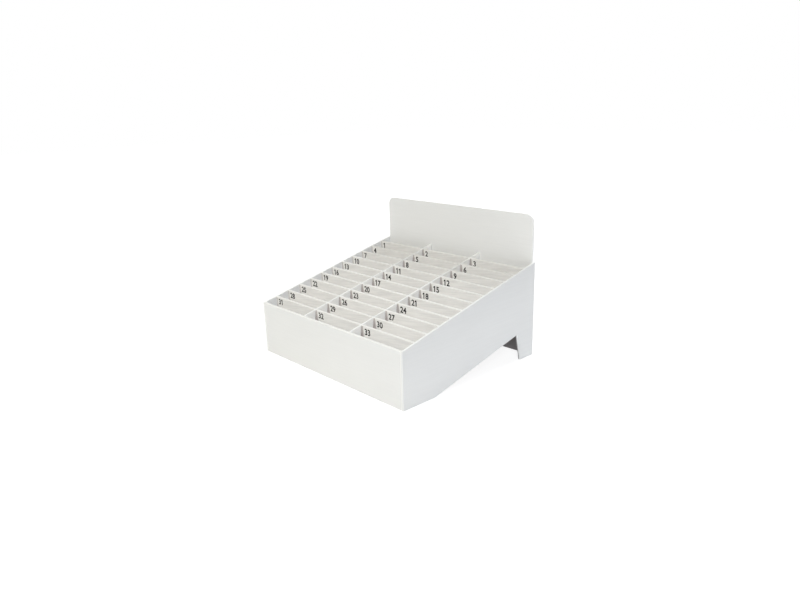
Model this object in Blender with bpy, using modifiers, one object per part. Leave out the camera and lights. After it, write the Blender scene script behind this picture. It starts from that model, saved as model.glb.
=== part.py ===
"""Phone storage box: a sloping tray of glued boards with a half-lapped grid of dividers.

The box stands on the lower edges of its panels. Its origin is the centre of the footprint,
on the surface that it stands on. +X is to the right, +Y is to the rear and +Z is up.
"""

import math

import bmesh
import bpy
from mathutils import Matrix

# Driving dimensions, in metres
COLUMNS = 3
ROWS = 12
CELL_WIDTH = 0.102
CELL_DEPTH = 0.0195
CELL_HEIGHT = 0.050
PANEL = 0.003
DIVIDER = 0.003
FLOOR = 0.003
FRONT_HEIGHT = 0.081
REAR_HEIGHT = 0.146
BACK_HEIGHT = 0.216
BACK_CORNER_RADIUS = 0.012
FOOT_LENGTH = 0.057
LEG_WIDTH_AT_FLOOR = 0.031
LEG_WIDTH_AT_TOP = 0.040
LAP_HEIGHT = 0.025

# Clearances and edge finish
SEAM = 0.0003
LAP_CLEARANCE = 0.0003
EDGE_EASE = 0.0003
SHARPEST_LEFT_PLAIN = math.radians(40)
CORNER_STEPS = 8

# Corners of neighbouring panes closer than this are one corner
WELD_DISTANCE = 0.00001

# Sizes that follow from the driving dimensions
INNER_WIDTH = COLUMNS * CELL_WIDTH + (COLUMNS - 1) * DIVIDER
INNER_DEPTH = ROWS * CELL_DEPTH + (ROWS - 1) * DIVIDER
WIDTH = INNER_WIDTH + 2 * PANEL
DEPTH = INNER_DEPTH + 2 * PANEL
FRONT = -DEPTH / 2
REAR = DEPTH / 2
RAKE = (REAR_HEIGHT - FRONT_HEIGHT) / DEPTH
FLOOR_DROP = FLOOR * math.hypot(1.0, RAKE)
BOARD_SPAN = INNER_WIDTH - 2 * SEAM
SLOT_HALF = DIVIDER / 2 + LAP_CLEARANCE

# Colours, as linear red, green and blue
PANEL_COLOUR = (0.80, 0.80, 0.76)
DIVIDER_COLOUR = (0.74, 0.73, 0.69)
FLOOR_COLOUR = (0.70, 0.69, 0.66)
BOARD_ROUGHNESS = 0.45

# Turns that stand a board drawn in the XY plane along the depth or across the width
ALONG_DEPTH = (math.pi / 2, 0.0, math.pi / 2)
ACROSS_WIDTH = (math.pi / 2, 0.0, 0.0)

# Leans that make a board drawn level follow the slope, applied before those turns
UPRIGHT = Matrix.Identity(4)
LEAN_ALONG_DEPTH = Matrix(((1, 0, 0, 0), (RAKE, 1, 0, 0), (0, 0, 1, 0), (0, 0, 0, 1)))
LEAN_ACROSS_WIDTH = Matrix(((1, 0, 0, 0), (0, 1, -RAKE, 0), (0, 0, 1, 0), (0, 0, 0, 1)))


def rim_height(y):
    """Height of the sloping rim over the surface that the box stands on."""
    return FRONT_HEIGHT + RAKE * (y - FRONT)


def floor_height(y):
    """Height of the compartments' floor, which runs parallel to the rim."""
    return rim_height(y) - CELL_HEIGHT


def row_divider_place(row):
    """Middle plane of the divider behind a row, counted from the front."""
    return FRONT + PANEL + row * CELL_DEPTH + (row - 0.5) * DIVIDER


def column_divider_place(column):
    """Middle plane of the divider to the right of a column, counted from the left."""
    return -INNER_WIDTH / 2 + column * CELL_WIDTH + (column - 0.5) * DIVIDER


def clear_scene():
    """Remove the objects that the scene starts with."""
    for thing in list(bpy.data.objects):
        bpy.data.objects.remove(thing, do_unlink=True)


def board_material(name, colour):
    """Make the material of one board."""
    material = bpy.data.materials.new(name)
    material.use_nodes = True
    shader = material.node_tree.nodes["Principled BSDF"]
    shader.inputs["Base Color"].default_value = (*colour, 1.0)
    shader.inputs["Roughness"].default_value = BOARD_ROUGHNESS
    shader.inputs["Metallic"].default_value = 0.0
    return material


def board_mesh(name, panes, thickness, lean):
    """Join flat panes at their shared corners, thicken them and lean them to the slope."""
    shape = bmesh.new()
    for pane in panes:
        shape.faces.new([shape.verts.new((across, up, -thickness / 2)) for across, up in pane])
    bmesh.ops.remove_doubles(shape, verts=shape.verts, dist=WELD_DISTANCE)
    grown = bmesh.ops.extrude_face_region(shape, geom=list(shape.faces))
    raised = [part for part in grown["geom"] if isinstance(part, bmesh.types.BMVert)]
    bmesh.ops.translate(shape, verts=raised, vec=(0.0, 0.0, thickness))
    bmesh.ops.transform(shape, matrix=lean, verts=shape.verts)
    bmesh.ops.recalc_face_normals(shape, faces=shape.faces)
    mesh = bpy.data.meshes.new(name)
    shape.to_mesh(mesh)
    shape.free()
    return mesh


def add_board(box, name, panes, thickness, turn, place, colour, lean=UPRIGHT):
    """Make one board from its panes, stand it in its place and ease its edges."""
    mesh = board_mesh(name, panes, thickness, lean)
    mesh.materials.append(board_material(name + "_finish", colour))
    board = bpy.data.objects.new(name, mesh)
    board.rotation_euler = turn
    board.location = place
    box.objects.link(board)
    ease = board.modifiers.new("eased_edges", "BEVEL")
    ease.width = EDGE_EASE
    ease.segments = 1
    ease.limit_method = "ANGLE"
    ease.angle_limit = SHARPEST_LEFT_PLAIN
    return board


def side_outline():
    """Side panel from the side: flat foot, slanted lower edge, notch and rear leg."""
    foot_end = FRONT + FOOT_LENGTH
    notch_top = REAR - LEG_WIDTH_AT_TOP
    return [
        (FRONT, 0.0),
        (foot_end, 0.0),
        (notch_top, RAKE * (notch_top - foot_end)),
        (REAR - LEG_WIDTH_AT_FLOOR, 0.0),
        (REAR, 0.0),
        (REAR, REAR_HEIGHT),
        (FRONT, FRONT_HEIGHT),
    ]


def back_outline():
    """Back panel from the front: a tall board with two rounded top corners."""
    half = BOARD_SPAN / 2
    points = [(-half, 0.0), (half, 0.0)]
    for side in (1, -1):
        for step in range(CORNER_STEPS + 1):
            turn = math.pi / 2 * step / CORNER_STEPS
            if side < 0:
                turn = math.pi / 2 - turn
            across = half - BACK_CORNER_RADIUS * (1 - math.cos(turn))
            up = BACK_HEIGHT - BACK_CORNER_RADIUS * (1 - math.sin(turn))
            points.append((side * across, up))
    return points


def front_profile():
    """Front panel in section, with its top edge planed to the slope of the rim."""
    inside = FRONT + PANEL
    return [
        (FRONT, 0.0),
        (inside, 0.0),
        (inside, rim_height(inside)),
        (FRONT, rim_height(FRONT)),
    ]


def floor_profile():
    """Floor panel in section: it slopes between the front panel and the back panel."""
    start = FRONT + PANEL + SEAM
    end = REAR - PANEL - SEAM
    return [
        (start, floor_height(start) - FLOOR_DROP),
        (end, floor_height(end) - FLOOR_DROP),
        (end, floor_height(end)),
        (start, floor_height(start)),
    ]


def pane(near, far, low, high):
    """One level rectangle of a board, as four corners."""
    return [(near, low), (far, low), (far, high), (near, high)]


def slotted_board(near_end, far_end, slots, whole, teeth):
    """Panes of a board with slots: a whole strip along it, and teeth between the slots.

    The strip and the teeth are each given as their lower and upper height over the floor.
    """
    stations = [near_end]
    for middle in slots:
        stations.append(middle - SLOT_HALF)
        stations.append(middle + SLOT_HALF)
    stations.append(far_end)
    panes = []
    for index, (near, far) in enumerate(zip(stations, stations[1:])):
        panes.append(pane(near, far, *whole))
        if index % 2 == 0:
            panes.append(pane(near, far, *teeth))
    return panes


def column_divider_panes():
    """Column divider from the side, with a slot in its lower edge for each row divider."""
    near_end = FRONT + PANEL + SEAM
    far_end = REAR - PANEL - SEAM
    slots = [row_divider_place(row) for row in range(1, ROWS)]
    slot_top = LAP_HEIGHT + SEAM / 2
    return slotted_board(near_end, far_end, slots, (slot_top, CELL_HEIGHT), (SEAM, slot_top))


def row_divider_panes():
    """Row divider from the front, with a slot in its top edge for each column divider."""
    half = BOARD_SPAN / 2
    slots = [column_divider_place(column) for column in range(1, COLUMNS)]
    slot_foot = LAP_HEIGHT - SEAM / 2
    return slotted_board(-half, half, slots, (SEAM, slot_foot), (slot_foot, CELL_HEIGHT))


def add_outer_panels(box):
    """Side panels outside, with the front and back panels standing between them."""
    side_place = (WIDTH - PANEL) / 2
    for name, across in (("left_side_panel", -side_place), ("right_side_panel", side_place)):
        add_board(box, name, [side_outline()], PANEL, ALONG_DEPTH, (across, 0.0, 0.0),
                  PANEL_COLOUR)
    add_board(box, "front_panel", [front_profile()], BOARD_SPAN, ALONG_DEPTH, (0.0, 0.0, 0.0),
              PANEL_COLOUR)
    back_place = REAR - PANEL / 2
    add_board(box, "back_panel", [back_outline()], PANEL, ACROSS_WIDTH, (0.0, back_place, 0.0),
              PANEL_COLOUR)


def add_floor_panel(box):
    """Sloping floor that the phones and the dividers stand on."""
    add_board(box, "floor_panel", [floor_profile()], BOARD_SPAN, ALONG_DEPTH, (0.0, 0.0, 0.0),
              FLOOR_COLOUR)


def add_dividers(box):
    """Row dividers across the width, and column dividers lapped over them from above."""
    for row in range(1, ROWS):
        middle = row_divider_place(row)
        place = (0.0, middle, floor_height(middle))
        add_board(box, "row_divider_%02d" % row, row_divider_panes(), DIVIDER, ACROSS_WIDTH,
                  place, DIVIDER_COLOUR, LEAN_ACROSS_WIDTH)
    for column in range(1, COLUMNS):
        place = (column_divider_place(column), 0.0, floor_height(0.0))
        add_board(box, "column_divider_%02d" % column, column_divider_panes(), DIVIDER,
                  ALONG_DEPTH, place, DIVIDER_COLOUR, LEAN_ALONG_DEPTH)


def main():
    """Build the box."""
    clear_scene()
    box = bpy.data.collections.new("phone_storage_box")
    bpy.context.scene.collection.children.link(box)
    add_outer_panels(box)
    add_floor_panel(box)
    add_dividers(box)


main()
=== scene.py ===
"""Looks of a phone storage box: white boards, a sloping grid of compartments, printed numbers.

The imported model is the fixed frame. Every board is modelled again from the same sizes, with
rounded edges and a finish for its faces and its cut edges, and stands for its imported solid.
Lengths are in metres and angles in radians. X runs to the right, Y to the rear and Z up.
"""

import logging
import math
from collections.abc import Sequence
from dataclasses import dataclass
from enum import Enum
from typing import Any, Self

import bmesh
import bpy
from bmesh.types import BMesh, BMVert
from bpy.types import ID, Material, Mesh, Node, NodeSocket, NodeTree, Object
from mathutils import Matrix, Vector


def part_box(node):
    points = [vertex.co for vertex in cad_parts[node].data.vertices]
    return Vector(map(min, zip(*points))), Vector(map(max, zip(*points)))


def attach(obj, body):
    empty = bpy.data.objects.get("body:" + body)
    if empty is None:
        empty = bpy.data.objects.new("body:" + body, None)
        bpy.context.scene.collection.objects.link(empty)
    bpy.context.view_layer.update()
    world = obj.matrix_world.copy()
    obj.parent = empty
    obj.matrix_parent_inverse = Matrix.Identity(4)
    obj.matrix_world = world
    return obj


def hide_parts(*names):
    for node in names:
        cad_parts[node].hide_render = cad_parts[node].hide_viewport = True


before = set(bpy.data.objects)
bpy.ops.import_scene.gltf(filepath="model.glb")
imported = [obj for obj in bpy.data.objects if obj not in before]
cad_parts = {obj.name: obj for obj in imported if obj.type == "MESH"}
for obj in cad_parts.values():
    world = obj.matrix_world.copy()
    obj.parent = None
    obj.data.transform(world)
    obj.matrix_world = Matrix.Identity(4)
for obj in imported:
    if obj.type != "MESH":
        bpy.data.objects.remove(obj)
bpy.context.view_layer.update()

LOG = logging.getLogger("phone_storage_box")
BODY = "root"
MILLIMETRES = 1000.0

Colour = tuple[float, float, float]
Point = tuple[float, float]
Range = tuple[float, float]

# A board's film, and the finish of its cut edges
Finishes = tuple[Material, Material]

# How every board is cut and rounded
CUT_TOLERANCE = 1e-7
SHARP_ANGLE = math.radians(40)
EDGE_EASE = 0.0003
EDGE_STEPS = 2
CORNER_STEPS = 20

# A face that looks this nearly along a board's broad direction has the film
BROAD_FACE = 0.97

# Directions that broad faces look in
SIDEWAYS = Vector((1.0, 0.0, 0.0))
REARWARD = Vector((0.0, 1.0, 0.0))

# The Mix node's sockets for colours, by number because others have the same names
MIX_LOW, MIX_HIGH, MIX_RESULT = 6, 7, 2


class Slot(Enum):
    """The record's material slots."""

    PANEL = "panel_board"
    DIVIDER = "divider_board"
    FLOOR = "floor_board"


class SawMarks(Enum):
    """Cells of the saw marks for each metre along x, y and z, closest along the board."""

    ALONG_WIDTH = (900.0, 60.0, 60.0)
    ALONG_DEPTH = (60.0, 900.0, 60.0)


class Stand(Enum):
    """How a board drawn level in the XY plane is stood up, as its turn about the upright."""

    ALONG_DEPTH = math.pi / 2
    ACROSS_WIDTH = 0.0

    def matrix(self) -> Matrix:
        """Tip a level board up on its lower edge, and then turn it."""
        return Matrix.Rotation(self.value, 4, "Z") @ Matrix.Rotation(math.pi / 2, 4, "X")


@dataclass(frozen=True)
class BoxSizes:
    """Sizes of the box, the same as in the part's source."""

    columns: int = 3
    rows: int = 12
    cell_width: float = 0.102
    cell_depth: float = 0.0195
    cell_height: float = 0.050
    panel: float = 0.003
    divider: float = 0.003
    floor: float = 0.003
    front_height: float = 0.081
    rear_height: float = 0.146
    back_height: float = 0.216
    back_corner_radius: float = 0.012
    foot_length: float = 0.057
    leg_width_at_floor: float = 0.031
    leg_width_at_top: float = 0.040
    lap_height: float = 0.025
    seam: float = 0.0003
    lap_clearance: float = 0.0003

    @property
    def column_pitch(self) -> float:
        """Distance from one column to the next."""
        return self.cell_width + self.divider

    @property
    def row_pitch(self) -> float:
        """Distance from one row to the next."""
        return self.cell_depth + self.divider

    @property
    def inner_width(self) -> float:
        """Width between the side panels."""
        return self.columns * self.cell_width + (self.columns - 1) * self.divider

    @property
    def width(self) -> float:
        """Width over the side panels."""
        return self.inner_width + 2 * self.panel

    @property
    def depth(self) -> float:
        """Depth over the front and back panels."""
        return self.rows * self.cell_depth + (self.rows - 1) * self.divider + 2 * self.panel

    @property
    def front(self) -> float:
        """Place of the front face."""
        return -self.depth / 2

    @property
    def rear(self) -> float:
        """Place of the rear face."""
        return self.depth / 2

    @property
    def inner_front(self) -> float:
        """Front end of a board that stands between the front and back panels."""
        return self.front + self.panel + self.seam

    @property
    def inner_rear(self) -> float:
        """Rear end of a board that stands between the front and back panels."""
        return self.rear - self.panel - self.seam

    @property
    def half_span(self) -> float:
        """Half the length of a board that stands between the side panels."""
        return self.inner_width / 2 - self.seam

    @property
    def rake(self) -> float:
        """Rise of the rim for each unit of depth."""
        return (self.rear_height - self.front_height) / self.depth

    @property
    def slot_half(self) -> float:
        """Half the width of a lap slot."""
        return self.divider / 2 + self.lap_clearance

    def rim_height(self, y: float) -> float:
        """Height of the sloping rim at a depth."""
        return self.front_height + self.rake * (y - self.front)

    def floor_height(self, y: float) -> float:
        """Height of the compartments' floor at a depth."""
        return self.rim_height(y) - self.cell_height

    def row_place(self, row: int) -> float:
        """Middle plane of the divider behind a row, counted from the front."""
        return self.front + self.panel + row * self.cell_depth + (row - 0.5) * self.divider

    def row_face(self, row: int) -> float:
        """Front face of the divider behind a row."""
        return self.row_place(row) - self.divider / 2

    def column_place(self, column: int) -> float:
        """Middle plane of the divider right of a column, counted from the left."""
        start = -self.inner_width / 2
        return start + column * self.cell_width + (column - 0.5) * self.divider


class Value:
    """A number that varies over a surface: a shader socket with arithmetic."""

    def __init__(self, paint: "Painter", socket: NodeSocket) -> None:
        """Wrap a socket of a painter's node tree."""
        self.paint = paint
        self.socket = socket

    def _math(self, operation: str, *terms: "Value | float") -> "Value":
        """Add a Math node on the given terms."""
        node = self.paint.node("ShaderNodeMath", {"operation": operation}, dict(enumerate(terms)))
        return Value(self.paint, node.outputs[0])

    def __add__(self, other: "Value | float") -> "Value":
        """Sum."""
        return self._math("ADD", self, other)

    def __radd__(self, other: float) -> "Value":
        """Sum with a plain number in front."""
        return self._math("ADD", other, self)

    def __sub__(self, other: "Value | float") -> "Value":
        """Difference."""
        return self._math("SUBTRACT", self, other)

    def __rsub__(self, other: float) -> "Value":
        """Difference from a plain number."""
        return self._math("SUBTRACT", other, self)

    def __mul__(self, other: "Value | float") -> "Value":
        """Product."""
        return self._math("MULTIPLY", self, other)

    def __rmul__(self, other: float) -> "Value":
        """Product with a plain number in front."""
        return self._math("MULTIPLY", other, self)

    def __truediv__(self, other: "Value | float") -> "Value":
        """Quotient."""
        return self._math("DIVIDE", self, other)

    def __rtruediv__(self, other: float) -> "Value":
        """Quotient of a plain number."""
        return self._math("DIVIDE", other, self)

    def wrapped(self, length: float) -> "Value":
        """The value counted again from 0 after each length."""
        return self._math("WRAP", self, length, 0.0)

    def lower(self, other: "Value | float") -> "Value":
        """The lower of the two."""
        return self._math("MINIMUM", self, other)

    def raised(self, start: float) -> "Value":
        """A value from 0 to 1, brought into the range from start to 1."""
        return self * (1.0 - start) + start

    def fade(self, start: float, end: float) -> "Value":
        """Take a smooth step.

        Args:
            start: the value at which the step begins.
            end: the value at which it is complete, which may be the lower one.

        Returns:
            The step, from 0 at start to 1 at end.
        """
        settings = {"interpolation_type": "SMOOTHSTEP"}
        inputs = {"Value": self, "From Min": start, "From Max": end}
        node = self.paint.node("ShaderNodeMapRange", settings, inputs)
        return Value(self.paint, node.outputs["Result"])


class Painter:
    """Builds a node tree."""

    def __init__(self, tree: NodeTree) -> None:
        """Start from a tree."""
        self.tree = tree

    def node(self, kind: str, settings: dict[str, Any], inputs: dict[str | int, Any]) -> Node:
        """Add one node.

        Args:
            kind: the node's type.
            settings: its properties, set before its sockets.
            inputs: a value, a Value or a socket for each named or numbered input.

        Returns:
            The node.
        """
        made = self.tree.nodes.new(kind)
        for name, setting in settings.items():
            setattr(made, name, setting)
        for name, given in inputs.items():
            self.feed(made.inputs[name], given)
        return made

    def feed(self, socket: NodeSocket, given: Any) -> None:
        """Give an input what it reads.

        Args:
            socket: the input.
            given: a Value or a socket to link, or the input's own value.
        """
        if isinstance(given, Value):
            self.tree.links.new(given.socket, socket)
        elif isinstance(given, NodeSocket):
            self.tree.links.new(given, socket)
        else:
            socket.default_value = given

    def place(self) -> NodeSocket:
        """Object coordinates, which are the box's own."""
        return self.node("ShaderNodeTexCoord", {}, {}).outputs["Object"]

    def axes(self) -> tuple[Value, Value, Value]:
        """The three object coordinates as numbers."""
        parts = self.node("ShaderNodeSeparateXYZ", {}, {0: self.place()})
        return tuple(Value(self, socket) for socket in parts.outputs)

    def blend(self, share: Value, low: Any, high: Any) -> NodeSocket:
        """Mix two colours by a share from 0 to 1."""
        inputs = {0: share, MIX_LOW: low, MIX_HIGH: high}
        return self.node("ShaderNodeMix", {"data_type": "RGBA"}, inputs).outputs[MIX_RESULT]


class MaterialPainter(Painter):
    """Builds the node tree of one material."""

    def __init__(self, name: str) -> None:
        """Start a material with a Principled shader.

        Args:
            name: the material's name.
        """
        self.material = bpy.data.materials.new(name)
        self.material.use_nodes = True
        super().__init__(self.material.node_tree)
        self.shader = self.tree.nodes["Principled BSDF"]

    def relief(self, height: Value, strength: float, depth: float) -> None:
        """Give the surface a bump of a depth in metres."""
        inputs = {"Height": height, "Strength": strength, "Distance": depth}
        self.feed(self.shader.inputs["Normal"], self.node("ShaderNodeBump", {}, inputs).outputs[0])

    def finish(self, colour: Any, roughness: Value | float, gloss: float) -> Material:
        """Set the shader's main inputs.

        Args:
            colour: colour, plain or varying.
            roughness: roughness, plain or varying.
            gloss: specular level, the same all over.

        Returns:
            The material.
        """
        self.feed(self.shader.inputs["Base Color"], colour)
        self.feed(self.shader.inputs["Roughness"], roughness)
        self.feed(self.shader.inputs["Specular IOR Level"], gloss)
        return self.material


def solid(colour: Colour) -> tuple[float, float, float, float]:
    """A colour with full alpha."""
    return (*colour, 1.0)


def grey(level: float) -> Colour:
    """A colour with three equal channels."""
    return (level, level, level)


def tinted(colour: Colour, tint: Colour) -> tuple[float, float, float, float]:
    """A colour times a tint, with full alpha."""
    return solid(tuple(channel * share for channel, share in zip(colour, tint)))


@dataclass(frozen=True)
class Pattern:
    """Soft noise from about 0 to 1, with more contrast where thresholds are given."""

    cells: Sequence[float]
    detail: float = 2.0
    turn: Sequence[float] = (0.0, 0.0, 0.0)
    thresholds: Range | None = None

    def drawn(self, paint: Painter) -> Value:
        """Draw the pattern.

        Args:
            paint: the painter of the material.

        Returns:
            The pattern, with its number of cells for each metre along the turned axes.
        """
        vector = paint.place()
        for name, by in (("Rotation", self.turn), ("Scale", self.cells)):
            inputs = {"Vector": vector, name: tuple(by)}
            vector = paint.node("ShaderNodeMapping", {"vector_type": "POINT"}, inputs).outputs[0]
        inputs = {"Vector": vector, "Scale": 1.0, "Detail": self.detail}
        made = paint.node("ShaderNodeTexNoise", {"noise_dimensions": "3D"}, inputs)
        soft = Value(paint, made.outputs[0])
        return soft.fade(*self.thresholds) if self.thresholds else soft


@dataclass(frozen=True)
class Grain(Pattern):
    """Streaks along a board."""

    detail: float = 3.0
    thresholds: Range | None = (0.28, 0.72)


@dataclass(frozen=True)
class Layer:
    """Painted shade, scuffs or wear over part of a film: a share of the film's colour times a
    tint.
    """

    strength: float
    tint: Colour = grey(1.0)

    def mask(self, paint: Painter, face: "BoardFace") -> Value:
        """Where the layer lies, from 0 to 1."""
        raise NotImplementedError

    def over(self, paint: Painter, face: "BoardFace", colour: Any) -> NodeSocket:
        """Lay the layer over the colour so far."""
        share = self.mask(paint, face) * self.strength
        return paint.blend(share, colour, tinted(face.colour, self.tint))


@dataclass(frozen=True)
class RubbedRim(Layer):
    """A thin pale line of wear along the top edges, broken by noise."""

    strength: float = 0.6
    tint: Colour = grey(1.06)
    reach: Range = (0.0016, 0.0003)
    breaks: Pattern = Pattern(grey(120.0), 3.0, thresholds=(0.35, 0.70))

    def mask(self, paint: Painter, face: "BoardFace") -> Value:
        """Where the rim is rubbed, from 0 to 1."""
        near = face.under_top(paint).fade(*self.reach)
        return near * self.breaks.drawn(paint)


@dataclass(frozen=True)
class HandledRim(Layer):
    """Painted shade: the film darker most at the rim, fading out below it."""

    tint: Colour = grey(0.80)
    reach: float = 0.060

    def mask(self, paint: Painter, face: "BoardFace") -> Value:
        """Where the painted shade lies, from 0 to 1."""
        return face.under_top(paint).fade(self.reach, 0.0)


@dataclass(frozen=True)
class ScuffedFoot(Layer):
    """Faint grey scuffs just over the surface that the box stands on."""

    tint: Colour = grey(0.72)
    reach: float = 0.004
    breaks: Pattern = Pattern((90.0, 90.0, 240.0), 4.0, thresholds=(0.45, 0.70))

    def mask(self, paint: Painter, face: "BoardFace") -> Value:
        """Where the foot is scuffed, from 0 to 1."""
        low = paint.axes()[2].fade(self.reach, 0.0)
        return low * self.breaks.drawn(paint)


@dataclass(frozen=True)
class DullHollow(Layer):
    """Painted shade: dark, brownish film in the hollow under the floor, on the faces that look
    inward.
    """

    # The tint is the darkness of the painted shade.
    tint: Colour = (0.29, 0.26, 0.27)

    def within(self, place: Value, limit: float) -> Value:
        """1 between the middle planes of two opposite panels, and 0 outside them."""
        return place.fade(-limit, -limit + EDGE_EASE) * place.fade(limit, limit - EDGE_EASE)

    def mask(self, paint: Painter, face: "BoardFace") -> Value:
        """Find the hollow.

        Args:
            paint: the painter of the material.
            face: the film.

        Returns:
            1 in the hollow, and 0 outside it.
        """
        sizes = face.sizes
        x, y, _ = paint.axes()
        inward = self.within(x, sizes.width / 2 - sizes.panel / 2)
        inward = inward * self.within(y, sizes.depth / 2 - sizes.panel / 2)
        under = face.under_rim(paint).fade(sizes.cell_height, sizes.cell_height + sizes.floor)
        return inward * under


@dataclass(frozen=True)
class WallShade(Layer):
    """Painted shade, brownish, beside a neighbouring board, wider and darker lower down.

    It is weaker in the left column. The core is the share of its width where it is full.
    """

    # The tint darkens the film to a brownish painted shade.
    tint: Colour = (0.30, 0.24, 0.24)
    width_at_rim: float = 0.0
    widening: float = 0.0
    core: float = 0.25
    deepening: Range = (-0.002, 0.004)
    rim_share: float = 0.7
    left_end: Range = (-0.15, -0.05)
    left_share: float = 0.55

    def wall(self, paint: Painter, sizes: BoxSizes) -> Value:
        """Distance from the neighbouring board."""
        raise NotImplementedError

    def mask(self, paint: Painter, face: "BoardFace") -> Value:
        """Find the shade.

        Args:
            paint: the painter of the material.
            face: the film.

        Returns:
            The shade's share, from 0 to 1.
        """
        wall = self.wall(paint, face.sizes)
        under = face.under_rim(paint)
        near = (wall / (under * self.widening + self.width_at_rim)).fade(1.0, self.core)
        deep = under.fade(*self.deepening).raised(self.rim_share)
        return near * deep * paint.axes()[0].fade(*self.left_end).raised(self.left_share)


@dataclass(frozen=True)
class CornerShade(WallShade):
    """Painted shade at both ends of each compartment, on a row divider."""

    width_at_rim: float = 0.0046
    widening: float = 0.22
    right_setback: float = 0.0015

    def wall(self, paint: Painter, sizes: BoxSizes) -> Value:
        """Distance from the nearer wall, with the right one set back."""
        across = (paint.axes()[0] + sizes.inner_width / 2).wrapped(sizes.column_pitch)
        return across.lower(sizes.cell_width - across + self.right_setback)


@dataclass(frozen=True)
class SlotShade(WallShade):
    """Painted shade in front of each row divider, on a column divider."""

    width_at_rim: float = 0.0002
    widening: float = 0.14

    def wall(self, paint: Painter, sizes: BoxSizes) -> Value:
        """Distance from the row divider behind."""
        return (sizes.row_face(1) - paint.axes()[1]).wrapped(sizes.row_pitch)


@dataclass(frozen=True)
class BoardFace:
    """Satin film on the broad faces of a board.

    The shares say how far clouds, grain and speckle change the colour. The layers lie over it
    in their order. A board whose top edge is level gives that edge's height.
    """

    name: str
    colour: Colour
    sizes: BoxSizes
    grain: Pattern
    layers: Sequence[Layer]
    grain_share: float = 0.010
    level_top: float | None = None
    clouds: Pattern = Pattern(grey(14.0), 3.0)
    cloud_share: float = 0.016
    speckle: Pattern = Pattern(grey(1500.0), 1.0)
    speckle_share: float = 0.004
    roughness: float = 0.42
    grain_roughness: float = 0.10
    cloud_roughness: float = 0.06
    peel: Pattern = Pattern(grey(420.0))
    peel_share: float = 0.6
    relief_strength: float = 0.25
    relief_depth: float = 0.00012
    gloss: float = 0.4

    def under_rim(self, paint: Painter) -> Value:
        """Distance below the sloping rim."""
        _, y, z = paint.axes()
        return (y - self.sizes.front) * self.sizes.rake + self.sizes.front_height - z

    def under_top(self, paint: Painter) -> Value:
        """Distance below the board's own top edge, which is the sloping rim or a level edge."""
        level = self.level_top
        return self.under_rim(paint) if level is None else level - paint.axes()[2]

    def material(self) -> Material:
        """Make the finish.

        Returns:
            The material.
        """
        paint = MaterialPainter(self.name)
        clouds, grain, speckle = (
            pattern.drawn(paint) for pattern in (self.clouds, self.grain, self.speckle)
        )
        light = clouds * self.cloud_share + grain * self.grain_share + speckle * self.speckle_share
        spread = self.cloud_share + self.grain_share + self.speckle_share
        dark, pale = (tinted(self.colour, grey(1.0 + change)) for change in (-spread, spread))
        colour = paint.blend(light * (1.0 / spread), dark, pale)
        for layer in self.layers:
            colour = layer.over(paint, self, colour)
        smoothest = self.roughness - (self.grain_roughness + self.cloud_roughness) / 2
        rough = grain * self.grain_roughness + clouds * self.cloud_roughness + smoothest
        height = self.peel.drawn(paint) * self.peel_share + grain * (1.0 - self.peel_share)
        paint.relief(height, self.relief_strength, self.relief_depth)
        return paint.finish(colour, rough, self.gloss)


@dataclass(frozen=True)
class CutEdge:
    """Sawn edge of a board, paler and duller than the film, with fine marks across it."""

    name: str
    marks: SawMarks
    # Paler than the film: partly the sawn edge's own colour, partly a painted highlight for the
    # bright line along the top edges.
    colour: Colour = (0.97, 0.97, 0.94)
    mark_share: float = 0.6
    pores: Pattern = Pattern(grey(2600.0), thresholds=(0.30, 0.75))
    darkest: float = 0.965
    palest: float = 1.025
    roughness: float = 0.60
    mark_roughness: float = 0.16
    relief_strength: float = 0.35
    relief_depth: float = 0.00010
    gloss: float = 0.3

    def material(self) -> Material:
        """Make the finish.

        Returns:
            The material.
        """
        paint = MaterialPainter(self.name)
        marks = Pattern(self.marks.value).drawn(paint)
        light = marks * self.mark_share + self.pores.drawn(paint) * (1.0 - self.mark_share)
        dark, pale = (tinted(self.colour, grey(level)) for level in (self.darkest, self.palest))
        smoothest = self.roughness - self.mark_roughness / 2
        paint.relief(light, self.relief_strength, self.relief_depth)
        colour = paint.blend(light, dark, pale)
        return paint.finish(colour, marks * self.mark_roughness + smoothest, self.gloss)


@dataclass(frozen=True)
class PrintedInk:
    """Matt black ink, a little thin in places."""

    name: str = "printed_ink"
    colour: Colour = (0.020, 0.018, 0.019)
    thin_colour: Colour = (0.045, 0.042, 0.043)
    thin_places: Pattern = Pattern(grey(900.0), 3.0, thresholds=(0.50, 0.80))
    roughness: float = 0.60
    thin_roughness: float = 0.12
    gloss: float = 0.2

    def material(self) -> Material:
        """Make the finish.

        Returns:
            The material.
        """
        paint = MaterialPainter(self.name)
        thin = self.thin_places.drawn(paint)
        colour = paint.blend(thin, solid(self.colour), solid(self.thin_colour))
        return paint.finish(colour, thin * self.thin_roughness + self.roughness, self.gloss)


def as_mesh(shape: BMesh, name: str) -> Mesh:
    """Write a shape into a new mesh.

    Args:
        shape: the shape, which is freed.
        name: the mesh's name.

    Returns:
        The mesh.
    """
    mesh = bpy.data.meshes.new(name)
    shape.to_mesh(mesh)
    shape.free()
    return mesh


def take_in(shape: BMesh, mesh: Mesh) -> None:
    """Add a mesh to a shape, and remove the mesh."""
    shape.from_mesh(mesh)
    bpy.data.meshes.remove(mesh)


def placed(name: str, data: ID) -> Object:
    """Put an object into the scene.

    Args:
        name: the object's name.
        data: its mesh, text, light or camera.

    Returns:
        The object, at the origin.
    """
    made = bpy.data.objects.new(name, data)
    bpy.context.scene.collection.objects.link(made)
    return made


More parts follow.
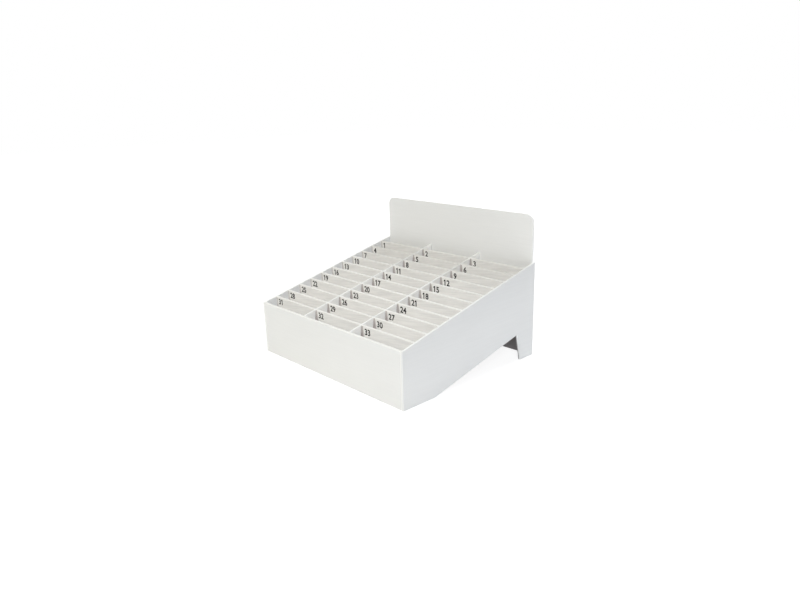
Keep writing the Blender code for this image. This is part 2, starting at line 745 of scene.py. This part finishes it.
class BoardShape:
    """One board in the making: drawn level in the XY plane, thickened, leaned and stood up."""

    def __init__(self) -> None:
        """Start an empty board."""
        self.mesh = bmesh.new()

    def rectangle(self, low: Point, high: Point) -> Self:
        """Start from the rectangle between two opposite corners."""
        return self.outline([low, (high[0], low[1]), high, (low[0], high[1])])

    def outline(self, corners: Sequence[Point]) -> Self:
        """Start from a few corners.

        Args:
            corners: the corners in their order round the board.

        Returns:
            The board.
        """
        points = [self.mesh.verts.new((across, up, 0.0)) for across, up in corners]
        rim = [self.mesh.edges.new(pair) for pair in zip(points, points[1:] + points[:1])]
        bmesh.ops.edgeloop_fill(self.mesh, edges=rim)
        return self

    def cut(self, place: Sequence[float], across: Sequence[float]) -> None:
        """Cut every face along a plane.

        Args:
            place: a place on the plane.
            across: the direction that the plane is square to.
        """
        parts = [*self.mesh.verts, *self.mesh.edges, *self.mesh.faces]
        plane = {"plane_co": place, "plane_no": across}
        bmesh.ops.bisect_plane(self.mesh, geom=parts, dist=CUT_TOLERANCE, **plane)

    def slots(self, middles: Sequence[float], half: float, lap: float, upward: bool) -> Self:
        """Cut lap slots.

        Args:
            middles: middle of each slot along the board.
            half: half a slot's width.
            lap: height at which the slots end.
            upward: whether the slots are open at the top.

        Returns:
            The board.
        """
        self.cut((0.0, lap, 0.0), (0.0, 1.0, 0.0))
        for middle in middles:
            for side in (middle - half, middle + half):
                self.cut((side, 0.0, 0.0), (1.0, 0.0, 0.0))
        spots = [(face, face.calc_center_median()) for face in self.mesh.faces]
        waste = [
            face
            for face, spot in spots
            if (spot.y > lap) == upward and any(abs(spot.x - middle) < half for middle in middles)
        ]
        bmesh.ops.delete(self.mesh, geom=waste, context="FACES")
        return self

    def bevel(self, parts: Sequence[Any], affect: str, width: float, steps: int) -> Self:
        """Round some of the board's corners or edges.

        Args:
            parts: the corners or the edges.
            affect: VERTICES or EDGES, as the parts are.
            width: how far the rounding reaches.
            steps: segments of the rounding.

        Returns:
            The board.
        """
        bmesh.ops.bevel(
            self.mesh,
            geom=parts,
            affect=affect,
            offset=width,
            segments=steps,
            profile=0.5,
            material=-1,
        )
        return self

    def round_top_corners(self, radius: float) -> Self:
        """Round the two top corners of a rectangle that stands on the X axis."""
        corners = [vert for vert in self.mesh.verts if vert.co.y > radius]
        return self.bevel(corners, "VERTICES", radius, CORNER_STEPS)

    def thicken(self, thickness: float) -> Self:
        """Give the flat board its thickness, half to each side.

        Args:
            thickness: the board's thickness.

        Returns:
            The board.
        """
        grown = bmesh.ops.extrude_face_region(self.mesh, geom=list(self.mesh.faces))
        raised = [part for part in grown["geom"] if isinstance(part, BMVert)]
        bmesh.ops.translate(self.mesh, vec=(0.0, 0.0, thickness), verts=raised)
        bmesh.ops.translate(self.mesh, vec=(0.0, 0.0, -thickness / 2), verts=self.mesh.verts)
        bmesh.ops.recalc_face_normals(self.mesh, faces=self.mesh.faces)
        return self

    def move(self, matrix: Matrix) -> Self:
        """Lean, turn or place the board."""
        bmesh.ops.transform(self.mesh, matrix=matrix, verts=self.mesh.verts)
        return self

    def ease(self) -> Self:
        """Round every sharp edge."""
        sharp = [edge for edge in self.mesh.edges if edge.calc_face_angle(0.0) > SHARP_ANGLE]
        return self.bevel(sharp, "EDGES", EDGE_EASE, EDGE_STEPS)

    def piece(self, name: str, finishes: Finishes, *filmed: Vector) -> Object:
        """Turn the board into an object.

        Args:
            name: the object's name.
            finishes: the board's finishes.
            filmed: directions that faces with the film look in, or away from.

        Returns:
            The object, at the origin.
        """
        for part in self.mesh.faces:
            part.smooth = True
            film = any(abs(part.normal.dot(way)) > BROAD_FACE for way in filmed)
            part.material_index = 0 if film else 1
        data = as_mesh(self.mesh, name)
        for finish in finishes:
            data.materials.append(finish)
        made = placed(name, data)
        level = made.modifiers.new("level_normals", "WEIGHTED_NORMAL")
        level.mode = "FACE_AREA"
        level.keep_sharp = True
        return made


def shear(row: int, column: int, amount: float) -> Matrix:
    """Make the lean of a board that follows the slope.

    Args:
        row: axis that points are moved along.
        column: axis that they are moved in proportion to.
        amount: movement for each unit.

    Returns:
        The lean as a matrix.
    """
    matrix = Matrix.Identity(4)
    matrix[row][column] = amount
    return matrix


def hand_over(piece: Object, node: str) -> Object:
    """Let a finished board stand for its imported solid, and report how closely it fits.

    Args:
        piece: the board.
        node: the solid's node.

    Returns:
        The board.
    """
    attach(piece, BODY)
    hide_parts(node)
    gap = max(
        abs(reach(corner[axis] for corner in piece.bound_box) - packed[axis])
        for reach, packed in zip((min, max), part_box(node))
        for axis in range(3)
    )
    LOG.info("%s stands for %s, within %.3f mm", piece.name, node, gap * MILLIMETRES)
    return piece


@dataclass(frozen=True)
class OuterPanels:
    """Side panels outside, with the front panel and the tall back panel between them."""

    sizes: BoxSizes
    colour: Colour = (0.86, 0.86, 0.846)
    side_grain: Sequence[float] = (60.0, 18.0, 500.0)
    across_grain: Sequence[float] = (18.0, 60.0, 500.0)
    # The last layer is painted shade in the hollow under the floor.
    # The second layer is painted shade, darker near the rim.
    layers: Sequence[Layer] = (RubbedRim(), HandledRim(0.22), ScuffedFoot(0.5), DullHollow(0.9))

    def film(self, name: str, cells: Sequence[float], **more: float) -> Material:
        """Make the film of one kind of panel, with what more it gives."""
        name, grain = "panel_face_" + name, Grain(cells)
        return BoardFace(name, self.colour, self.sizes, grain, self.layers, **more).material()

    def side_outline(self) -> list[Point]:
        """Draw a side panel from the side: flat foot, slanted lower edge, notch and rear leg.

        Returns:
            The corners.
        """
        sizes = self.sizes
        foot_end = sizes.front + sizes.foot_length
        notch_top = sizes.rear - sizes.leg_width_at_top
        return [
            (sizes.front, 0.0),
            (foot_end, 0.0),
            (notch_top, sizes.rake * (notch_top - foot_end)),
            (sizes.rear - sizes.leg_width_at_floor, 0.0),
            (sizes.rear, 0.0),
            (sizes.rear, sizes.rear_height),
            (sizes.front, sizes.front_height),
        ]

    def side(self, name: str, across: float, finishes: Finishes) -> Object:
        """Build a side panel, with the film on its front and rear ends too.

        Args:
            name: left or right.
            across: place of its middle plane.
            finishes: its finishes.

        Returns:
            The panel.
        """
        shape = BoardShape().outline(self.side_outline()).thicken(self.sizes.panel)
        shape.move(Matrix.Translation((across, 0.0, 0.0)) @ Stand.ALONG_DEPTH.matrix()).ease()
        # The ends take the film, which keeps the cut edges' painted highlight off them.
        board = shape.piece(name + "_side_board", finishes, SIDEWAYS, REARWARD)
        return hand_over(board, name + "_side_panel")

    def front(self, finishes: Finishes) -> Object:
        """Build the front panel, with its top edge planed to the slope.

        Args:
            finishes: its finishes.

        Returns:
            The panel.
        """
        sizes = self.sizes
        inside = sizes.front + sizes.panel
        section = [
            (sizes.front, 0.0),
            (inside, 0.0),
            (inside, sizes.rim_height(inside)),
            (sizes.front, sizes.rim_height(sizes.front)),
        ]
        shape = BoardShape().outline(section).thicken(2 * sizes.half_span)
        shape.move(Stand.ALONG_DEPTH.matrix()).ease()
        return hand_over(shape.piece("front_board", finishes, REARWARD), "front_panel")

    def back(self, finishes: Finishes) -> Object:
        """Build the back panel, with its two rounded top corners.

        Args:
            finishes: its finishes.

        Returns:
            The panel.
        """
        sizes = self.sizes
        half = sizes.half_span
        shape = BoardShape().rectangle((-half, 0.0), (half, sizes.back_height))
        shape.round_top_corners(sizes.back_corner_radius).thicken(sizes.panel)
        middle = sizes.rear - sizes.panel / 2
        shape.move(Matrix.Translation((0.0, middle, 0.0)) @ Stand.ACROSS_WIDTH.matrix()).ease()
        return hand_over(shape.piece("back_board", finishes, REARWARD), "back_panel")

    def build(self) -> list[Object]:
        """Build and dress all four panels.

        Returns:
            The panels.
        """
        side_face = self.film("side", self.side_grain)
        across_face = self.film("across", self.across_grain)
        tall_face = self.film("tall", self.across_grain, level_top=self.sizes.back_height)
        side_edge = CutEdge("panel_side_edge", SawMarks.ALONG_DEPTH).material()
        across_edge = CutEdge("panel_across_edge", SawMarks.ALONG_WIDTH).material()
        place = (self.sizes.width - self.sizes.panel) / 2
        return [
            self.side("left", -place, (side_face, side_edge)),
            self.side("right", place, (side_face, side_edge)),
            self.front((across_face, across_edge)),
            self.back((tall_face, across_edge)),
        ]


@dataclass(frozen=True)
class SlopingFloor:
    """Floor of the compartments, which the dividers stand on."""

    sizes: BoxSizes
    colour: Colour = (0.82, 0.81, 0.78)
    grain: Pattern = Grain((18.0, 300.0, 60.0))
    # The last layer is painted shade in the hollow under the floor.
    layers: Sequence[Layer] = (RubbedRim(), DullHollow(0.9))

    def build(self) -> list[Object]:
        """Build and dress the floor.

        Returns:
            The floor.
        """
        sizes = self.sizes
        face = BoardFace("floor_face", self.colour, sizes, self.grain, self.layers)
        edge = CutEdge("floor_edge", SawMarks.ALONG_WIDTH)
        start, end = sizes.inner_front, sizes.inner_rear
        drop = sizes.floor * math.hypot(1.0, sizes.rake)
        section = [
            (start, sizes.floor_height(start) - drop),
            (end, sizes.floor_height(end) - drop),
            (end, sizes.floor_height(end)),
            (start, sizes.floor_height(start)),
        ]
        shape = BoardShape().outline(section).thicken(2 * sizes.half_span)
        shape.move(Stand.ALONG_DEPTH.matrix()).ease()
        up = Vector((0.0, -sizes.rake, 1.0)).normalized()
        board = shape.piece("floor_board", (face.material(), edge.material()), up)
        return [hand_over(board, "floor_panel")]


@dataclass(frozen=True)
class DividerGrid:
    """Row dividers across the width, and column dividers lapped over them from above."""

    sizes: BoxSizes
    row_colour: Colour = (0.873, 0.857, 0.830)
    # The column dividers are the same board as the row dividers, but their film is painted much
    # paler: painted light on the column faces.
    column_colour: Colour = (0.97, 0.96, 0.922)
    # Partly the sawn edge's own colour, partly a painted highlight along the row dividers' top
    # edges.
    row_edge_colour: Colour = (0.945, 0.935, 0.90)
    grain_cells: Sequence[float] = (24.0, 24.0, 420.0)
    row_grain_tilt: float = math.radians(8)
    row_grain_share: float = 0.055
    column_grain_share: float = 0.030
    # The corner and slot layers are painted shade in the compartments' corners.
    row_layers: Sequence[Layer] = (RubbedRim(), CornerShade(0.80))
    column_layers: Sequence[Layer] = (RubbedRim(), SlotShade(0.88))

    def rows(self) -> list[Object]:
        """Build the row dividers, slotted from above and leaned to the slope.

        Returns:
            The row dividers, from the front.
        """
        sizes = self.sizes
        face = BoardFace(
            "row_divider_face",
            self.row_colour,
            sizes,
            Grain(self.grain_cells, turn=(0.0, self.row_grain_tilt, 0.0)),
            self.row_layers,
            self.row_grain_share,
        ).material()
        edge = CutEdge("row_divider_edge", SawMarks.ALONG_WIDTH, self.row_edge_colour).material()
        slots = [sizes.column_place(column) for column in range(1, sizes.columns)]
        lap = sizes.lap_height - sizes.seam / 2
        corners = (-sizes.half_span, sizes.seam), (sizes.half_span, sizes.cell_height)
        made = []
        for row in range(1, sizes.rows):
            middle = sizes.row_place(row)
            shape = BoardShape().rectangle(*corners)
            shape.slots(slots, sizes.slot_half, lap, True).thicken(sizes.divider)
            place = Matrix.Translation((0.0, middle, sizes.floor_height(middle)))
            shape.move(place @ Stand.ACROSS_WIDTH.matrix() @ shear(1, 2, -sizes.rake)).ease()
            board = shape.piece("row_board_%02d" % row, (face, edge), REARWARD)
            made.append(hand_over(board, "row_divider_%02d" % row))
        return made

    def columns(self) -> list[Object]:
        """Build the column dividers, slotted from below along the slope.

        Returns:
            The column dividers, from the left.
        """
        sizes = self.sizes
        face = BoardFace(
            "column_divider_face",
            self.column_colour,
            sizes,
            Grain(self.grain_cells, turn=(-math.atan(sizes.rake), 0.0, 0.0)),
            self.column_layers,
            self.column_grain_share,
        ).material()
        edge = CutEdge("column_divider_edge", SawMarks.ALONG_DEPTH).material()
        slots = [sizes.row_place(row) for row in range(1, sizes.rows)]
        lap = sizes.lap_height + sizes.seam / 2
        corners = (sizes.inner_front, sizes.seam), (sizes.inner_rear, sizes.cell_height)
        made = []
        for column in range(1, sizes.columns):
            middle = sizes.column_place(column)
            shape = BoardShape().rectangle(*corners)
            shape.slots(slots, sizes.slot_half, lap, False).thicken(sizes.divider)
            place = Matrix.Translation((middle, 0.0, sizes.floor_height(0.0)))
            shape.move(place @ Stand.ALONG_DEPTH.matrix() @ shear(1, 0, sizes.rake)).ease()
            board = shape.piece("column_board_%02d" % column, (face, edge), SIDEWAYS)
            made.append(hand_over(board, "column_divider_%02d" % column))
        return made

    def build(self) -> list[Object]:
        """Build and dress the grid."""
        return self.rows() + self.columns()


@dataclass(frozen=True)
class PrintedNumbers:
    """Plain numbers near the top left of each compartment, on the row dividers' front faces.

    The first group of sizes is in the built-in typeface's own units, at which a digit is about
    0.7 tall. Each digit has a cell of the same width. The second group is in metres.
    """

    sizes: BoxSizes

    cell: float = 0.500
    boldness: float = 0.027
    stem: Range = (0.202, 0.300)
    stem_top: float = 0.682
    flag_left: float = 0.055
    flag_drop: float = 0.11
    flag_weight: float = 0.17
    drawn_depth: float = 1.0
    curve_steps: int = 4
    weld_distance: float = 1e-5
    flat_distance: float = 1e-4
    flat_passes: int = 2

    digit_height: float = 0.0091
    widening: float = 1.03
    from_left: float = 0.0066
    foot_under_rim: float = 0.0120
    column_rise: Sequence[float] = (0.0007, 0.0007, 0.0)
    ink_depth: float = 0.00006
    sunk: float = 0.00002

    def number(self, row: int, column: int) -> int:
        """Number of a compartment: 1 is at the rear left, and they run to the right."""
        return self.sizes.columns * (self.sizes.rows - 1 - row) + column

    def flagged_one(self) -> Mesh:
        """Draw a 1 with a flag, as bold and as deep as the other digits.

        Returns:
            The digit.
        """
        left, right = self.stem[0] - self.boldness, self.stem[1] + self.boldness
        top = self.stem_top + self.boldness
        corners = [
            (left, -self.boldness),
            (right, -self.boldness),
            (right, top),
            (left, top),
            (self.flag_left, top - self.flag_drop),
            (self.flag_left, top - self.flag_drop - self.flag_weight),
            (left, top - self.flag_weight),
        ]
        return as_mesh(BoardShape().outline(corners).thicken(self.drawn_depth).mesh, "digit")

    def typeset(self, character: str) -> Mesh:
        """Draw one digit in the built-in typeface.

        Args:
            character: the digit.

        Returns:
            The digit.
        """
        text = bpy.data.curves.new("digit", "FONT")
        text.body = character
        text.offset = self.boldness
        text.resolution_u = self.curve_steps
        text.extrude = self.drawn_depth / 2
        drawn = placed("digit", text)
        graph = bpy.context.evaluated_depsgraph_get()
        mesh = bpy.data.meshes.new_from_object(drawn.evaluated_get(graph))
        bpy.data.objects.remove(drawn, do_unlink=True)
        return mesh

    def clean(self, shape: BMesh) -> None:
        """Close the digits' seams, and take out the flat faces that filling a curve leaves.

        Args:
            shape: the digits.
        """
        bmesh.ops.remove_doubles(shape, verts=shape.verts, dist=self.weld_distance)
        for _ in range(self.flat_passes):
            bmesh.ops.dissolve_degenerate(shape, edges=shape.edges, dist=self.flat_distance)
        bmesh.ops.recalc_face_normals(shape, faces=shape.faces)

    def digits(self, number: int) -> BMesh:
        """Set one number as a thin solid.

        Args:
            number: the number.

        Returns:
            The number, standing on its foot, with the left side of its first cell at 0.
        """
        shape = bmesh.new()
        for index, character in enumerate(str(number)):
            mesh = self.flagged_one() if character == "1" else self.typeset(character)
            mesh.transform(Matrix.Translation((index * self.cell, 0.0, 0.0)))
            take_in(shape, mesh)
        self.clean(shape)
        low = min(vert.co.y for vert in shape.verts)
        tall = max(vert.co.y for vert in shape.verts) - low
        scale = self.digit_height / tall
        thin = self.ink_depth / self.drawn_depth
        fit = Matrix.Diagonal((scale * self.widening, scale, thin, 1.0))
        place = fit @ Matrix.Translation((0.0, -low, 0.0))
        bmesh.ops.transform(shape, matrix=place, verts=shape.verts)
        return shape

    def spot(self, row: int, column: int) -> tuple[float, float, float]:
        """Place a number.

        Args:
            row: the row, counted from the front.
            column: the column, counted from the left.

        Returns:
            The foot of the number's left side, with most of the ink in front of the divider.
        """
        sizes = self.sizes
        wall = -sizes.inner_width / 2 + (column - 1) * sizes.column_pitch
        face = sizes.row_face(row)
        foot = sizes.rim_height(face) - self.foot_under_rim + self.column_rise[column - 1]
        return wall + self.from_left, face - self.ink_depth / 2 + self.sunk, foot

    def printed(self, row: int, ink: Material) -> Object:
        """Print the numbers of one row.

        Args:
            row: the row, counted from the front.
            ink: the ink.

        Returns:
            The numbers.
        """
        shape = bmesh.new()
        for column in range(1, self.sizes.columns + 1):
            number = self.digits(self.number(row, column))
            place = Matrix.Translation(self.spot(row, column)) @ Stand.ACROSS_WIDTH.matrix()
            bmesh.ops.transform(number, matrix=place, verts=number.verts)
            take_in(shape, as_mesh(number, "number"))
        data = as_mesh(shape, "row_numbers_%02d" % row)
        data.materials.append(ink)
        printed = placed(data.name, data)
        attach(printed, BODY)
        return printed

    def build(self) -> list[Object]:
        """Print every numbered row."""
        ink = PrintedInk().material()
        return [self.printed(row, ink) for row in range(1, self.sizes.rows)]


@dataclass(frozen=True)
class Lamp:
    """One soft lamp."""

    name: str
    place: Sequence[float]
    power: float
    colour: Colour
    size: float = 1.2
    aim: Sequence[float] = (0.0, 0.0, 0.08)

    def hang(self) -> None:
        """Add the lamp."""
        light = bpy.data.lights.new(self.name, "AREA")
        light.shape = "DISK"
        light.size = self.size
        light.energy = self.power
        light.color = self.colour
        lamp = placed(self.name, light)
        lamp.location = self.place
        towards = Vector(self.aim) - Vector(self.place)
        lamp.rotation_euler = towards.to_track_quat("-Z", "Y").to_euler()


@dataclass(frozen=True)
class Studio:
    """Pale floor, white surroundings, soft lamps and the photograph's camera.

    The dome is the surroundings' light on the object. The floor's share of glow grows from the
    object outwards, so that its far part is plain white.
    """

    dome: float = 0.06
    dome_colour: Colour = grey(1.0)
    floor_colour: Colour = grey(0.97)
    floor_glow: float = 1.25
    floor_share: float = 0.70
    floor_near: float = 0.45
    floor_far: float = 1.3
    floor_reach: float = 6.0
    floor_drop: float = 0.00005
    lens: float = 30.045478
    sensor: float = 36.0
    nearest: float = 0.01
    farthest: float = 50.0
    camera_place: Sequence[float] = (0.726877, -0.662041, 0.380631)
    heading: float = 0.824890
    tilt: float = 0.291217
    lean: float = -0.027958
    lamps: Sequence[Lamp] = (
        Lamp("front_right_lamp", (1.9, -1.9, 1.4), 50.8, (0.937, 0.962, 1.0)),
        Lamp("front_lamp", (-0.3, -0.95, 0.9), 5.6, (1.0, 0.955, 0.80)),
        Lamp("rear_lamp", (0.0, 1.5, 1.5), 33.0, (0.91, 0.945, 1.0)),
    )

    def seen(self, paint: Painter) -> Value:
        """Tell what is seen as background from what lights the object.

        Args:
            paint: the painter of the floor or the world.

        Returns:
            1 for rays that the background is seen by, and 0 for the light on the object.
        """
        path = paint.node("ShaderNodeLightPath", {}, {})
        camera, glossy, through = (
            Value(paint, path.outputs[name])
            for name in ("Is Camera Ray", "Is Glossy Ray", "Is Transmission Ray")
        )
        return (camera + glossy + through).lower(1.0)

    def surroundings(self) -> None:
        """White world, which lights the object at its own level."""
        world = bpy.data.worlds.new("white_surroundings")
        world.use_nodes = True
        bpy.context.scene.world = world
        paint = Painter(world.node_tree)
        background = paint.tree.nodes["Background"]
        paint.feed(background.inputs["Strength"], self.seen(paint).raised(self.dome))
        paint.feed(background.inputs["Color"], solid(self.dome_colour))

    def floor(self) -> None:
        """Plain pale floor, which keeps a soft shadow."""
        shape = bmesh.new()
        bmesh.ops.create_grid(shape, x_segments=1, y_segments=1, size=self.floor_reach)
        bmesh.ops.translate(shape, vec=(0.0, 0.0, -self.floor_drop), verts=shape.verts)
        paint = MaterialPainter("studio_floor")
        paint.finish(solid(self.floor_colour), 1.0, 0.0)
        glow = paint.node("ShaderNodeEmission", {}, {"Strength": self.floor_glow})
        x, y, _ = paint.axes()
        far = (x * x + y * y).fade(self.floor_near**2, self.floor_far**2)
        share = self.seen(paint) * far.raised(self.floor_share)
        parts = {0: share, 1: paint.shader.outputs[0], 2: glow.outputs[0]}
        mixed = paint.node("ShaderNodeMixShader", {}, parts)
        paint.feed(paint.tree.nodes["Material Output"].inputs["Surface"], mixed.outputs[0])
        data = as_mesh(shape, "studio_floor")
        data.materials.append(paint.material)
        plane = placed("studio_floor", data)

    def camera(self) -> None:
        """Camera at the photograph's place."""
        data = bpy.data.cameras.new("camera")
        data.lens = self.lens
        data.sensor_width = self.sensor
        data.clip_start = self.nearest
        data.clip_end = self.farthest
        turn = Matrix.Rotation(self.heading, 4, "Z")
        turn = turn @ Matrix.Rotation(math.pi / 2 - self.tilt, 4, "X")
        turn = turn @ Matrix.Rotation(self.lean, 4, "Z")
        camera = placed("camera", data)
        camera.matrix_world = Matrix.Translation(self.camera_place) @ turn
        bpy.context.scene.camera = camera

    def build(self) -> None:
        """Set the studio up."""
        self.surroundings()
        self.floor()
        self.camera()
        for lamp in self.lamps:
            lamp.hang()
        bpy.context.scene.view_settings.view_transform = "Standard"


def main() -> None:
    """Build the object and its studio, report each piece, and note the two boxes."""
    logging.basicConfig(level=logging.INFO, format="%(name)s: %(message)s")
    sizes = BoxSizes()
    for kind in (OuterPanels, SlopingFloor, DividerGrid, PrintedNumbers):
        for piece in kind(sizes).build():
            LOG.info("%s has %d faces", piece.name, len(piece.data.polygons))
    Studio().build()


if __name__ == "__main__":
    main()
